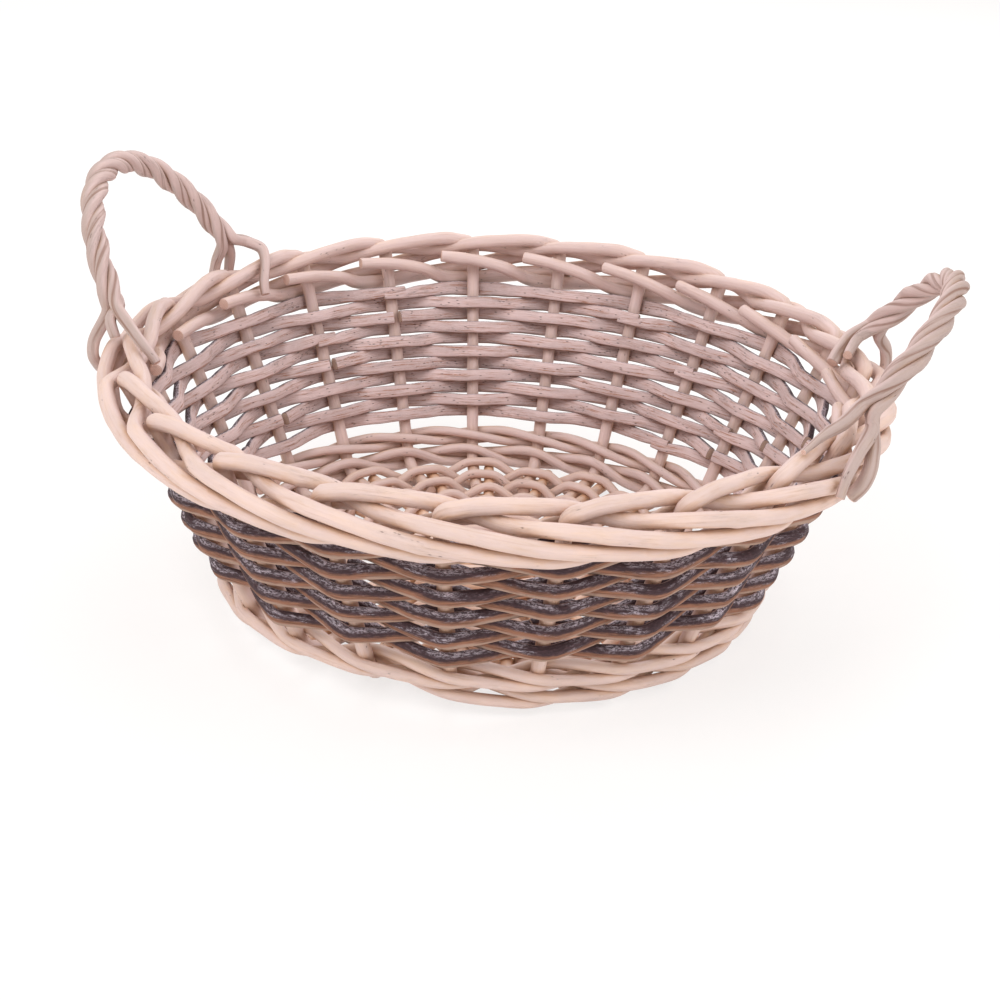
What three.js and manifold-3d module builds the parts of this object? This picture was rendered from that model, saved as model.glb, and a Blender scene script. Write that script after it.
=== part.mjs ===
// Round willow basket with a flared openwork wall and two fixed rope ear handles.
// Millimetres, +Z up. The shapes are set out round the middle of the base, and the whole is
// then placed with the origin on the ground under the middle of its overall box.
import * as THREE from 'three';
import { mergeVertices } from 'three/addons/utils/BufferGeometryUtils.js';
import Module from 'manifold-3d';

const wasm = await Module();
wasm.setup();

// Driving dimensions of the body
const stakeCount = 22;
const footRadius = 117.7;
const rimRadius = 163.4;
const rimHeight = 105;
const stakeDiameter = 6.5;
const baseStickDiameter = 5.6;
const baseWeaverSize = 3.8;
const splitWidth = 6.15;
const splitThickness = 3.9;
const upsettRodDiameter = 4.2;

// Fits
const weaveClearance = 0.35;
const rowGap = 0.4;
const upsettGap = 4.6;
const endGap = 1.6;
const standTrim = 0.25;

// Setting out round the basket
const firstStakeAngle = THREE.MathUtils.degToRad(-98.4);
const handDrift = THREE.MathUtils.degToRad(2.1);
const bayAngle = (2 * Math.PI) / stakeCount;
const endBays = endGap / (2 * bayAngle * footRadius);

// Base
const slathReach = 24;
const slathGap = 1.05;
const tieRadius = 31.5;
const tieSpacing = 12;
const firstRingRadius = 51;
const ringSpacing = 9;
const ringInset = 0.9;
const byeStakeLength = 31.7;
const baseStickInset = 4.7;
const upturnRadius = 8;
const pairedStickCount = 6;
const crossStickCount = 5;
const pairedStart = -2;
const slitProngThickness = 2.1;
const passedStickThickness = 4;

// Wall
const upsettFootHeight = 6.6;
const rowCount = 11;
const upsettRounds = 2;
const backRiseShare = 0.3;

// Ear handles
const handleStrandDiameter = 5.4;
const handleStrandCount = 3;
const leftHandleHeight = 77;
const rightHandleHeight = 67.5;
const handleTwistLength = 46;
const handleFootRise = 14.1;
const handleRopeStart = THREE.MathUtils.degToRad(15);
const clampSpread = 4.4;
const handles = [
  {
    name: 'left',
    middle: THREE.MathUtils.degToRad(163),
    halfAngle: THREE.MathUtils.degToRad(20.8),
    height: leftHandleHeight,
    flare: THREE.MathUtils.degToRad(7.6),
  },
  {
    name: 'right',
    middle: THREE.MathUtils.degToRad(-10.8),
    halfAngle: THREE.MathUtils.degToRad(18.8),
    height: rightHandleHeight,
    flare: THREE.MathUtils.degToRad(13.8),
  },
];

// Values worked out from the driving dimensions
const lean = Math.atan((rimRadius - footRadius) / rimHeight);
const stakeRadius = stakeDiameter / 2;
const basePlane = stakeRadius + weaveClearance + baseWeaverSize - standTrim;
const rowPitch = splitWidth + rowGap;
const cornerUp = basePlane / Math.cos(lean);
const cornerRadius = footRadius + cornerUp * Math.sin(lean);
const upturnAngle = Math.PI / 2 - lean;
const upturnTangent = upturnRadius * Math.tan(upturnAngle / 2);
const lastRingRadius = cornerRadius - upturnTangent - ringInset;
const baseStickReach = footRadius - baseStickInset;
const byeStakeStart = footRadius - byeStakeLength;

// Colours
const finishes = {
  paleRod: { color: 0xdcc6b0, roughness: 0.78 },
  base: { color: 0xcdb29a, roughness: 0.8 },
  split: { color: 0x6b5048, roughness: 0.72 },
  rope: { color: 0xc9ab9a, roughness: 0.75 },
};

const basket = new THREE.Group();

function addPiece(name, geometry, finish) {
  const material = new THREE.MeshStandardMaterial({ ...finishes[finish], metalness: 0 });
  const mesh = new THREE.Mesh(geometry, material);
  mesh.name = name;
  basket.add(mesh);
}

// Angle of a place counted in bays from the first stake, uneven as a hand-set basket is
function angleAt(bays) {
  const even = firstStakeAngle + bays * bayAngle;
  return even - handDrift * Math.sin(even);
}

// Point beside the sloping wall: up is measured along the wall, out at right angles to it
function wallPlace(angle, up, out) {
  const radius = footRadius + up * Math.sin(lean) + out * Math.cos(lean);
  const height = up * Math.cos(lean) - out * Math.sin(lean);
  return floorPoint(angle, radius, height);
}

function wallPoint(bays, up, out) {
  return wallPlace(angleAt(bays), up, out);
}

function wallNormal(bays) {
  return floorPoint(angleAt(bays), Math.cos(lean), -Math.sin(lean));
}

function floorPoint(angle, radius, height) {
  return new THREE.Vector3(radius * Math.cos(angle), radius * Math.sin(angle), height);
}

// Cross-sections, as [along the side direction, across it]
function roundSection(diameter, sides) {
  const corners = [];
  for (let i = 0; i < sides; i += 1) {
    const turn = ((i + 0.5) * 2 * Math.PI) / sides;
    corners.push([(Math.cos(turn) * diameter) / 2, (Math.sin(turn) * diameter) / 2]);
  }
  return corners;
}

function barSection(depth, width) {
  return [
    [depth / 2, -width / 2],
    [depth / 2, width / 2],
    [-depth / 2, width / 2],
    [-depth / 2, -width / 2],
  ];
}

// A split rod: flat pith face inwards, bark face narrowed by its roundness
function splitSection(thickness, width) {
  const barkShare = 0.62;
  return [
    [thickness / 2, (-width / 2) * barkShare],
    [thickness / 2, (width / 2) * barkShare],
    [-thickness / 2, width / 2],
    [-thickness / 2, -width / 2],
  ];
}

// One closed strand swept through its stations. Each station has a point, a side direction
// and, where the rod is shaved or swollen there, its two section scales.
function strandGeometry(stations, section) {
  const sides = section.length;
  const positions = [];
  const indices = [];
  stations.forEach((station, i) => {
    const point = station.point;
    const before = stations[Math.max(i - 1, 0)].point;
    const after = stations[Math.min(i + 1, stations.length - 1)].point;
    const arriving = point.clone().sub(before);
    const leaving = after.clone().sub(point);
    if (i === 0) arriving.copy(leaving);
    if (i === stations.length - 1) leaving.copy(arriving);
    arriving.normalize();
    leaving.normalize();
    const along = arriving.clone().add(leaving).normalize();
    const side = station.side.clone().addScaledVector(along, -station.side.dot(along)).normalize();
    const across = along.clone().cross(side);
    const turn = leaving.clone().sub(arriving);
    turn.addScaledVector(along, -turn.dot(along));
    const mitre = 1 / arriving.dot(along) - 1;
    if (turn.lengthSq() > 0) turn.normalize();
    const [sideScale, acrossScale] = station.scales ?? [1, 1];
    for (const [a, b] of section) {
      const offset = side.clone().multiplyScalar(a * sideScale);
      offset.addScaledVector(across, b * acrossScale);
      offset.addScaledVector(turn, offset.dot(turn) * mitre);
      positions.push(point.x + offset.x, point.y + offset.y, point.z + offset.z);
    }
  });
  for (let i = 0; i < stations.length - 1; i += 1) {
    for (let j = 0; j < sides; j += 1) {
      const next = (j + 1) % sides;
      const a = i * sides + j;
      const b = i * sides + next;
      const c = (i + 1) * sides + next;
      const d = (i + 1) * sides + j;
      indices.push(a, b, c, a, c, d);
    }
  }
  const last = (stations.length - 1) * sides;
  for (let j = 1; j < sides - 1; j += 1) {
    indices.push(0, j + 1, j, last, last + j, last + j + 1);
  }
  const geometry = new THREE.BufferGeometry();
  geometry.setAttribute('position', new THREE.Float32BufferAttribute(positions, 3));
  geometry.setIndex(indices);
  geometry.computeVertexNormals();
  return geometry;
}

function toSolid(geometry) {
  const bare = geometry.clone();
  bare.deleteAttribute('normal');
  bare.deleteAttribute('uv');
  const merged = mergeVertices(bare);
  return new wasm.Manifold(new wasm.Mesh({
    numProp: 3,
    vertProperties: new Float32Array(merged.attributes.position.array),
    triVerts: new Uint32Array(merged.index.array),
  }));
}

function toGeometry(solid) {
  const mesh = solid.getMesh();
  const geometry = new THREE.BufferGeometry();
  geometry.setAttribute('position', new THREE.BufferAttribute(mesh.vertProperties, 3));
  geometry.setIndex(new THREE.BufferAttribute(mesh.triVerts, 1));
  geometry.computeVertexNormals();
  return geometry;
}

// Base sticks: the cross sticks are slit at the middle and the paired sticks pass through them
const stickSwing = Math.asin((stakeRadius + baseStickDiameter / 2 + weaveClearance) / byeStakeStart);

function stickAngle(bays) {
  return angleAt(bays) - stickSwing;
}

const slathPitch = baseStickDiameter + slathGap;
const slitHeight = passedStickThickness + 2 * weaveClearance;
const swollenScale = (slitHeight + 2 * slitProngThickness) / baseStickDiameter;
const shavedScale = passedStickThickness / baseStickDiameter;
const slathHalf = (pairedStickCount * slathPitch) / 2;

// Where the arm of one stick leaves the slath, and where it meets the ring of the stakes
function armOf(bays) {
  const pairedEnd = pairedStart + pairedStickCount;
  const crossEnd = pairedEnd + crossStickCount;
  const around = ((bays - pairedStart) % stakeCount + stakeCount) % stakeCount + pairedStart;
  const pairedOffset = (order) => (order - (pairedStickCount - 1) / 2) * slathPitch;
  const crossOffset = (order) => (order - (crossStickCount - 1) / 2) * slathPitch;
  let from;
  if (around < pairedEnd) {
    from = new THREE.Vector3(pairedOffset(around - pairedStart), -slathReach, basePlane);
  } else if (around < crossEnd) {
    from = new THREE.Vector3(slathReach, crossOffset(around - pairedEnd), basePlane);
  } else if (around < crossEnd + pairedStickCount) {
    from = new THREE.Vector3(-pairedOffset(around - crossEnd), slathReach, basePlane);
  } else {
    from = new THREE.Vector3(-slathReach, -crossOffset(around - crossEnd - pairedStickCount), basePlane);
  }
  return { from, to: floorPoint(stickAngle(bays), byeStakeStart, basePlane) };
}

// Angle at which a stick crosses a circle about the middle
function crossingAngle(bays, radius) {
  if (radius >= byeStakeStart) return stickAngle(bays);
  const { from, to } = armOf(bays);
  const run = to.clone().sub(from).setZ(0);
  const flat = from.clone().setZ(0);
  const a = run.lengthSq();
  const b = flat.dot(run);
  const c = flat.lengthSq() - radius * radius;
  const share = (-b + Math.sqrt(b * b - a * c)) / a;
  const place = flat.addScaledVector(run, share);
  return Math.atan2(place.y, place.x);
}

function stickStations(nearBay, farBay, axis, offset, middleScale) {
  const alongX = axis === 'x';
  const place = (distance) => (alongX
    ? new THREE.Vector3(distance, offset, basePlane)
    : new THREE.Vector3(offset, distance, basePlane));
  const side = alongX ? new THREE.Vector3(0, 1, 0) : new THREE.Vector3(1, 0, 0);
  const sign = alongX ? 1 : -1;
  const near = armOf(nearBay);
  const far = armOf(farBay);
  return [
    { point: floorPoint(stickAngle(nearBay), baseStickReach, basePlane), side },
    { point: near.to, side },
    { point: near.from, side },
    { point: place(sign * slathHalf), side, scales: [1, middleScale] },
    { point: place(-sign * slathHalf), side, scales: [1, middleScale] },
    { point: far.from, side },
    { point: far.to, side },
    { point: floorPoint(stickAngle(farBay), baseStickReach, basePlane), side },
  ];
}

function addBaseSticks() {
  const section = roundSection(baseStickDiameter, 5);
  for (let i = 0; i < pairedStickCount; i += 1) {
    const near = pairedStart + i;
    const far = pairedStart + stakeCount - crossStickCount - 1 - i;
    const offset = (i - (pairedStickCount - 1) / 2) * slathPitch;
    const stations = stickStations(near, far, 'y', offset, shavedScale);
    addPiece(`base_stick_through_${i + 1}`, strandGeometry(stations, section), 'base');
  }
  const slit = new THREE.BoxGeometry(2 * slathHalf, 2 * baseStickDiameter, slitHeight);
  for (let i = 0; i < crossStickCount; i += 1) {
    const near = pairedStart + pairedStickCount + i;
    const far = pairedStart + stakeCount - 1 - i;
    const offset = (i - (crossStickCount - 1) / 2) * slathPitch;
    const stations = stickStations(near, far, 'x', offset, swollenScale);
    const stick = toSolid(strandGeometry(stations, section));
    const cutter = toSolid(slit.clone().translate(0, offset, basePlane));
    addPiece(`base_stick_slit_${i + 1}`, toGeometry(stick.subtract(cutter)), 'base');
  }
}

// Base weavers: two rods chase each other round, first over and under the four arms of the
// slath, then over and under each stick, and at the edge over stick and stake together.
// Their undersides are what the basket stands on, worn flat there.
const weaverLift = stakeRadius + weaveClearance + baseWeaverSize / 2;
const crestHold = baseStickDiameter / 2 + weaveClearance;
const tieHold = crestHold + slathGap;

function addBaseWeavers() {
  const half = stakeCount / 2;
  const arms = [
    { first: pairedStart, last: pairedStart + pairedStickCount - 1, over: 1 },
    { first: pairedStart + pairedStickCount, last: pairedStart + half - 1, over: -1 },
  ];
  for (let w = 0; w < 2; w += 1) {
    const parity = w === 0 ? 1 : -1;
    const stations = [];
    let lastAngle = -Infinity;
    const addStation = (angle, radius, level) => {
      let onward = angle;
      while (onward < lastAngle) onward += 2 * Math.PI;
      lastAngle = onward;
      const point = floorPoint(onward, radius, basePlane + level * weaverLift);
      stations.push({ point, side: floorPoint(onward, 1, 0) });
    };
    // Tie round over the arms, which are still bunched near the slath
    const tieReach = tieRadius + tieSpacing * w;
    for (let turn = 0; turn < 2; turn += 1) {
      for (const arm of arms) {
        const from = crossingAngle(arm.first + turn * half, tieReach) - tieHold / tieReach;
        const to = crossingAngle(arm.last + turn * half, tieReach) + tieHold / tieReach;
        addStation(from, tieReach, arm.over * parity);
        addStation((from + (to < from ? to + 2 * Math.PI : to)) / 2, tieReach, arm.over * parity);
        addStation(to, tieReach, arm.over * parity);
      }
    }
    // Open rounds over single sticks
    const startBay = stakeCount + pairedStart;
    const startRadius = firstRingRadius + w * ringSpacing;
    const bayTotal = Math.floor(((lastRingRadius - startRadius) / (2 * ringSpacing)) * stakeCount);
    for (let n = 0; n < bayTotal; n += 1) {
      const bay = startBay + n;
      const level = (bay % 2 === 0 ? 1 : -1) * parity;
      const radius = startRadius + (n / stakeCount) * 2 * ringSpacing;
      const besideStake = radius > byeStakeStart - baseWeaverSize;
      const to = besideStake ? angleAt(bay) : crossingAngle(bay, radius);
      addStation(crossingAngle(bay, radius) - crestHold / radius, radius, level);
      addStation(to + crestHold / radius, radius, level);
    }
    const geometry = strandGeometry(stations, barSection(baseWeaverSize, baseWeaverSize));
    const { position } = geometry.attributes;
    for (let i = 0; i < position.count; i += 1) position.setZ(i, Math.max(position.getZ(i), 0));
    addPiece(`base_weaver_${w + 1}`, geometry, 'base');
  }
}

// Upsett: a wale of three rods set in a stake apart, each in front of two stakes and behind one.
// It is level all the way round, with a step up over the last few bays.
const waleRodCount = 3;
const lapShare = 1.53;
const waleSlopeShare = 1.05;
const footLiftShare = 1.35;
const stepBays = 5;
const upsettHalf = (upsettRodDiameter + weaveClearance) / 2;
const upsettCross = upsettHalf * lapShare;
const upsettRound = 2 * upsettCross + upsettRodDiameter + weaveClearance;
const upsettMiddle = upsettFootHeight / Math.cos(lean) + upsettHalf + upsettRodDiameter / 2;
const upsettTop = upsettMiddle + (upsettRounds - 1) * upsettRound
  + upsettCross + upsettRodDiameter / 2;

function roundsClimbed(bays) {
  const steps = Math.max(Math.floor(bays / stakeCount), 0);
  const rest = bays - steps * stakeCount;
  return steps + THREE.MathUtils.smoothstep(rest, stakeCount - stepBays, stakeCount);
}

function addUpsett() {
  const out = (stakeRadius + upsettRodDiameter / 2 + weaveClearance) * waleSlopeShare;
  const footLift = upsettRodDiameter * footLiftShare;
  const strokeShares = [
    { at: 0, out, up: upsettHalf },
    { at: 1, out, up: -upsettHalf },
    { at: 1.5, out: 0, up: -upsettCross },
    { at: 2, out: -out, up: 0, inner: true },
    { at: 2.5, out: 0, up: upsettCross },
  ];
  const longest = stakeCount * upsettRounds - stepBays;
  const stakesPassed = longest - ((longest - 2) % waleRodCount);
  for (let rod = 0; rod < waleRodCount; rod += 1) {
    const stations = [];
    for (let stroke = -waleRodCount; stroke < stakesPassed; stroke += waleRodCount) {
      for (const share of strokeShares) {
        const passed = stroke + share.at;
        if (passed < -1 || passed > stakesPassed) continue;
        let bays = rod + passed;
        if (passed === -1) bays += endBays;
        if (passed === stakesPassed) bays -= endBays;
        const climbed = roundsClimbed(bays);
        const lift = share.inner ? footLift * Math.max(1 - climbed, 0) : 0;
        const up = upsettMiddle + climbed * upsettRound + share.up + lift;
        stations.push({ point: wallPoint(bays, up, share.out), side: wallNormal(bays) });
      }
    }
    const geometry = strandGeometry(stations, roundSection(upsettRodDiameter, 4));
    addPiece(`upsett_rod_${rod + 1}`, geometry, 'paleRod');
  }
}

const firstRowUp = upsettTop + upsettGap + splitWidth / 2;
const rowsTop = firstRowUp + (rowCount - 1) * rowPitch + splitWidth / 2;
const borderSeat = rowsTop + weaveClearance + stakeRadius;

// Side rows: one split per row, in front of one stake and behind the next
function addSideRows() {
  const holdShare = 0.16;
  const rowStaggerCount = 7;
  const out = (stakeRadius + weaveClearance + splitThickness / 2) * waleSlopeShare;
  const section = splitSection(splitThickness, splitWidth);
  for (let row = 0; row < rowCount; row += 1) {
    const up = firstRowUp + row * rowPitch;
    const start = row * rowStaggerCount + 1;
    const stations = [];
    const addStation = (bays, sign) => {
      stations.push({ point: wallPoint(bays, up, sign * out), side: wallNormal(bays) });
    };
    for (let n = start; n <= start + stakeCount; n += 1) {
      const sign = (n + row) % 2 === 0 ? 1 : -1;
      addStation(n === start ? n + endBays : n - holdShare, sign);
      addStation(n === start + stakeCount ? n - endBays : n + holdShare, sign);
    }
    const name = `side_row_${String(row + 1).padStart(2, '0')}`;
    addPiece(name, strandGeometry(stations, section), 'split');
  }
}

// Stakes: each lies beside a base stick, turns up, stands in the wall and is laid down in the
// border: behind one stake, in front of three, its tip cut inside.
// Rows are bays passed, out and up, both in stake diameters from the wall line and border seat.
const borderLayShares = [
  [0, 0.02, 1.7],
  [0.05, 0.02, 2.13],
  [0.3, -0.42, 2.37],
  [1, -1.15, 1.55],
  [1.25, -0.73, 1.26],
  [1.5, 0.02, 1.16],
  [2, 1.39, 2.21],
  [2.5, 1.76, 1.7],
  [3, 1.91, 1.09],
  [3.5, 1.85, 0.55],
  [4, 1.65, 0.01],
  [4.5, 0.41, 0.02],
  [5, -1.16, 0.26],
  [5.4, -1.36, 0.39],
];

// The border is pressed down less hard towards the back, so it stands higher there
function borderUp(angle, upShare) {
  const backness = (1 + Math.sin(angle)) / 2;
  return borderSeat + upShare * stakeDiameter * (1 + backRiseShare * backness);
}

function addStakes() {
  const section = roundSection(stakeDiameter, 5);
  for (let k = 0; k < stakeCount; k += 1) {
    const angle = angleAt(k);
    const beside = floorPoint(angle + Math.PI / 2, 1, 0);
    const stations = [];
    const lay = (radius, height) => {
      stations.push({ point: floorPoint(angle, radius, height), side: beside.clone() });
    };
    lay(byeStakeStart, basePlane);
    lay(cornerRadius - upturnTangent, basePlane);
    const bendRadius = cornerRadius - upturnTangent + upturnRadius * Math.sin(upturnAngle / 2);
    const bendHeight = basePlane + upturnRadius * (1 - Math.cos(upturnAngle / 2));
    lay(bendRadius, bendHeight);
    stations.push({ point: wallPoint(k, cornerUp + upturnTangent, 0), side: beside.clone() });
    for (const [bays, out, up] of borderLayShares) {
      const upward = borderUp(angleAt(k + bays), up);
      const point = wallPoint(k + bays, upward, out * stakeDiameter);
      stations.push({ point, side: wallNormal(k + bays) });
    }
    const name = `stake_${String(k + 1).padStart(2, '0')}`;
    addPiece(name, strandGeometry(stations, section), 'paleRod');
  }
}

// Ear handles: three strands laid up as a rope. At each foot the strands part and clasp the
// border, on the side where the lay of the rope brings them.
const clampShares = {
  outside: [[1.75, 3.3], [2.78, 2.1], [2.98, 0.9], [2.8, -0.1]],
  inside: [[-1.5, 3.3], [-2.2, 1.8], [-2.4, 0.6], [-2.3, -0.1]],
};

function clampStations(angle, side, spread, spoke) {
  return clampShares[side].map(([out, up]) => {
    const upward = borderUp(angle, up);
    const beside = angle + spread / rimRadius;
    return { point: wallPlace(beside, upward, out * stakeDiameter), side: spoke };
  });
}

function addHandles() {
  const strandRingShare = 0.6;
  const strandRing = (handleStrandDiameter + weaveClearance) * strandRingShare;
  const footHeight = borderSeat * Math.cos(lean) + handleFootRise;
  const section = roundSection(handleStrandDiameter, 5);
  const sixthShare = 1 / 6;
  const twistStepShare = 1 / 5.5;
  const sweepTotal = Math.PI - 2 * handleRopeStart;
  const firstClasp = ['outside', 'inside', 'outside'];
  const firstSpread = [clampSpread, 0, -clampSpread];
  const lastClasp = ['outside', 'inside', 'inside'];
  const lastSpread = [0, -clampSpread, clampSpread];
  for (const handle of handles) {
    const chordRadius = rimRadius * Math.cos(handle.halfAngle);
    const halfSpan = rimRadius * Math.sin(handle.halfAngle);
    const ropeLength = (sweepTotal * (halfSpan + handle.height)) / 2;
    const turns = Math.round(ropeLength / handleTwistLength) - sixthShare;
    const steps = Math.round(turns / twistStepShare);
    const tilt = lean + handle.flare;
    const outward = floorPoint(handle.middle, 1, 0);
    const sideways = floorPoint(handle.middle + Math.PI / 2, 1, 0);
    const rising = outward.clone().multiplyScalar(Math.sin(tilt)).setZ(Math.cos(tilt));
    const facing = sideways.clone().cross(rising);
    for (let strand = 0; strand < handleStrandCount; strand += 1) {
      const rope = [];
      for (let i = 0; i <= steps; i += 1) {
        const sweep = handleRopeStart + (sweepTotal * i) / steps;
        const centre = outward.clone().multiplyScalar(chordRadius).setZ(footHeight);
        centre.addScaledVector(sideways, -halfSpan * Math.cos(sweep));
        centre.addScaledVector(rising, handle.height * Math.sin(sweep));
        const along = sideways.clone().multiplyScalar(halfSpan * Math.sin(sweep));
        along.addScaledVector(rising, handle.height * Math.cos(sweep)).normalize();
        const inPlane = along.clone().cross(facing);
        const twist = 2 * Math.PI * ((turns * i) / steps + strand / handleStrandCount + sixthShare);
        const spoke = facing.clone().multiplyScalar(Math.cos(twist));
        spoke.addScaledVector(inPlane, Math.sin(twist));
        rope.push({ point: centre.addScaledVector(spoke, strandRing), side: spoke });
      }
      const firstFoot = handle.middle - handle.halfAngle;
      const lastFoot = handle.middle + handle.halfAngle;
      const first = clampStations(firstFoot, firstClasp[strand], firstSpread[strand], rope[0].side);
      const last = clampStations(lastFoot, lastClasp[strand], lastSpread[strand], rope[steps].side);
      const stations = [...first.reverse(), ...rope, ...last];
      const name = `${handle.name}_handle_strand_${strand + 1}`;
      addPiece(name, strandGeometry(stations, section), 'rope');
    }
  }
}

addBaseSticks();
addBaseWeavers();
addStakes();
addUpsett();
addSideRows();
addHandles();

const overall = new THREE.Box3().setFromObject(basket);
const overallMiddle = overall.getCenter(new THREE.Vector3());
basket.position.set(-overallMiddle.x, -overallMiddle.y, 0);

export default basket;
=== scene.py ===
"""Round willow basket with rope ear handles, dressed round its fixed frame.

Every rod, split and strand is swept along its own path, then tinted by a limewashed willow
finish. Lengths in the making are millimetres, and metres once they are in a mesh.
"""

import math

import bpy
import numpy as np
from mathutils import Matrix, Vector
from mathutils.bvhtree import BVHTree


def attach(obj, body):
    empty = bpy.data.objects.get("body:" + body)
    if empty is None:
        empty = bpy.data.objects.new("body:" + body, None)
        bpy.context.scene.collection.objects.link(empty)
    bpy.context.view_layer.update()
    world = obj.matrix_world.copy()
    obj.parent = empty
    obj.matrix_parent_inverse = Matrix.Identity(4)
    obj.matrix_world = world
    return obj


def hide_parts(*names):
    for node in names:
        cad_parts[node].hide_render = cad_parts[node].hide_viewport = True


bl_info = {
    "name": "Round willow basket",
    "version": (1, 0, 0),
    "blender": (4, 5, 0),
    "location": "3D View > Sidebar > Basket",
    "description": "Builds a limewashed round willow basket rod by rod",
    "category": "Object",
}

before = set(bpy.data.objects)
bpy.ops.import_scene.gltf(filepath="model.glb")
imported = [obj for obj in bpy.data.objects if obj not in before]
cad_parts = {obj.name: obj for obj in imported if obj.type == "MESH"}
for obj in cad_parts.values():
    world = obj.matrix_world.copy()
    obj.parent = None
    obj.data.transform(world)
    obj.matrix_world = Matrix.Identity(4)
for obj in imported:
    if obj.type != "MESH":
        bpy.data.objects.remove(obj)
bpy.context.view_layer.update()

MM = 0.001
TURN = 2 * math.pi

# Setting out, as in the frame
STAKES = 22
BAY = TURN / STAKES
FIRST_STAKE = math.radians(-98.4)
HAND_DRIFT = math.radians(2.1)
FOOT_RADIUS = 117.7
RIM_RADIUS = 163.4
RIM_HEIGHT = 105.0
LEAN = math.atan((RIM_RADIUS - FOOT_RADIUS) / RIM_HEIGHT)
MIDDLE = np.array([-2.859, -0.640, 0.0])
STAKE_SIZE = 6.5
STICK_SIZE = 5.6
WEAVER_SIZE = 3.8
UPSETT_SIZE = 4.2
SPLIT_WIDTH = 6.15
ROPE_STRAND_SIZE = 5.4
SLACK = 0.35
ROW_GAP = 0.4
UPSETT_GAP = 4.6
ROWS = 11
BACK_RISE = 0.3
BASE_PLANE = STAKE_SIZE / 2 + SLACK + WEAVER_SIZE - 0.25
BYE_START = 86.0
STICK_REACH = 113.0
SLATH_REACH = 24.0
SLATH_PITCH = STICK_SIZE + 1.05
SLATH_HALF = 3 * SLATH_PITCH
PAIRED = 6
CROSSED = 5
PAIRED_START = -2
# How much farther apart the upsett's rods are where they cross, and off the stakes as they slope
UPSETT_LAP = 1.53
UPSETT_SLOPE = 1.05
STEP_BAYS = 5


def tone(red, green, blue):
    """A colour given in display values from 0 to 255, as the linear values that shaders use."""
    linear = []
    for value in (red, green, blue):
        share = value / 255
        linear.append(share / 12.92 if share <= 0.04045 else ((share + 0.055) / 1.055) ** 2.4)
    return tuple(linear)


# Settings

def length(name, description, default, low, high):
    """A length that a maker would change, given in millimetres."""
    return bpy.props.FloatProperty(
        name=name, description=description, default=default * MM, min=low * MM, max=high * MM,
        unit='LENGTH', subtype='DISTANCE')


def colour_of(name, description, *display):
    """A colour that a maker would change, given in display values."""
    return bpy.props.FloatVectorProperty(
        name=name, description=description, default=tone(*display), min=0, max=1, subtype='COLOR')


class BasketSizes(bpy.types.PropertyGroup):
    """Sizes of the weave that a maker would change"""
    ring_pitch: length("Base weave pitch", "Spacing of the rounds of the base weave", 8.0, 3, 9)
    ring_rod: length("Base weaver", "Thickness of a base weaver", 4.6, 2, 6)
    split_width: length("Split width", "Width of a split rod in the wall", 7.5, 4, 9)
    split_depth: length("Split thickness", "Thickness of a split rod in the wall", 4.8, 2, 6)
    crest_shift: length("Crest shift", "Height that a split gains as it passes outside a stake",
                        2.0, 0, 3)
    wander: length("Wander", "How far a rod strays sideways from its even path", 0.35, 0, 2)
    lumps: bpy.props.FloatProperty(
        name="Lumps", description="Share by which a rod's thickness varies",
        default=0.045, min=0, max=0.3, subtype='FACTOR')


class BasketColours(bpy.types.PropertyGroup):
    """Colours of the willow and of its limewash"""
    peeled: colour_of("Peeled rod", "Peeled willow where the wash is thin", 224, 195, 178)
    # Raw willow's tone, also used for a painted warm glow and painted shade where other rods are close
    raw_and_glow: colour_of("Raw willow", "Unwashed willow deep in the weave", 208, 160, 124)
    wash: colour_of("Limewash", "Thin wash on the peeled rods", 216, 195, 196)
    pith: colour_of("Split face", "Washed inner face of a split", 226, 200, 198)
    bark: colour_of("Dark bark", "Bark on the outside of a split", 66, 48, 52)
    russet: colour_of("Russet bark", "Rubbed bark along the lower edge", 154, 107, 84)
    chalk: colour_of("Chalk", "Limewash left on the bark", 224, 212, 224)
    fleck: colour_of("Flecks", "Knots, specks and fine cracks", 74, 52, 44)
    floor: colour_of("Floor", "Plain pale floor", 255, 253, 252)


# Setting out

def floor_place(angle, radius, height):
    """Points at an angle, radius and height about the middle of the base."""
    angle, radius, height = np.broadcast_arrays(angle, radius, height)
    return np.stack([radius * np.cos(angle), radius * np.sin(angle), height], axis=-1)


def angle_at(bays):
    """Angle of a place counted in bays from the first stake."""
    even = FIRST_STAKE + np.asarray(bays, dtype=float) * BAY
    return even - HAND_DRIFT * np.sin(even)


def wall_place(angle, up, out):
    """Points beside the sloping wall, up along it and out at right angles to it."""
    radius = FOOT_RADIUS + np.asarray(up) * math.sin(LEAN) + np.asarray(out) * math.cos(LEAN)
    height = np.asarray(up) * math.cos(LEAN) - np.asarray(out) * math.sin(LEAN)
    return floor_place(angle, radius, height)


def wall_normal(angle):
    """Outward directions square to the sloping wall."""
    return floor_place(angle, math.cos(LEAN), -math.sin(LEAN))


def unit(vectors):
    """Vectors brought to a length of one."""
    return vectors / np.maximum(np.linalg.norm(vectors, axis=-1, keepdims=True), 1e-9)


def smooth(low, high, value):
    """A share that eases from 0 at low to 1 at high."""
    share = np.clip((value - low) / (high - low), 0, 1)
    return share * share * (3 - 2 * share)


# Rods

# Width left at a cut end and at a worn one, how far an end stands out, the length over which
# wander fades towards an end, and the length and the angle that a knot takes up
CUT_END = 0.86
WORN_END = 0.55
END_LIP = 0.35
END_HOLD = 12
KNOT_LENGTH = 2.6
KNOT_WIDTH = 0.55
SHARP_EDGE = math.radians(50)


def run_lengths(points):
    """Length of a broken line up to each of its points."""
    return np.concatenate([[0], np.cumsum(np.linalg.norm(np.diff(points, axis=0), axis=1))])


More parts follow.
